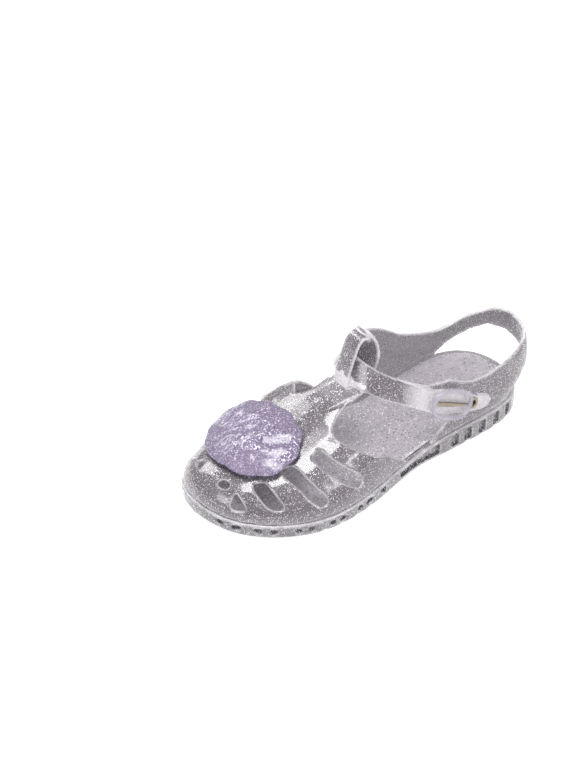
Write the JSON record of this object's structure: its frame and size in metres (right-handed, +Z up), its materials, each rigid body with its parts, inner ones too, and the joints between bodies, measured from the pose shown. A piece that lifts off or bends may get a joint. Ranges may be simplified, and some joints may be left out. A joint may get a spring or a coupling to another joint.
{
  "type": "jelly sandal",
  "caption": "Left child's moulded clear glitter jelly sandal with T-bar, buckled ankle strap, slingback, open side windows and a lavender scallop shell over the toes.",
  "frame": {"origin": "on the floor, at the middle of the heel's flat tread", "axes": "+Y towards the toe, +Z up, -X towards the outer side of the left foot"},
  "size_m": [0.0793, 0.194, 0.076],
  "materials": {
    "clear_glitter": "clear soft PVC with fine silver glitter, glossy",
    "footbed_glitter": "soft PVC with dense silver glitter, satin",
    "lavender_glitter": "soft PVC with dense lavender and silver glitter, glossy",
    "lavender_base": "clear lavender PVC, glossy",
    "buckle_plastic": "milky hard plastic, glossy",
    "prong_metal": "worn plated steel",
    "brass": "rolled brass, slightly dull"
  },
  "bodies": {
    "root": {"outsole": "clear_glitter", "footbed": "footbed_glitter", "upper": "clear_glitter", "shell": "lavender_glitter", "shell_base": "lavender_base", "buckle_frame": "buckle_plastic", "buckle_prong": "prong_metal", "eyelet": "brass"}
  },
  "joints": []
}
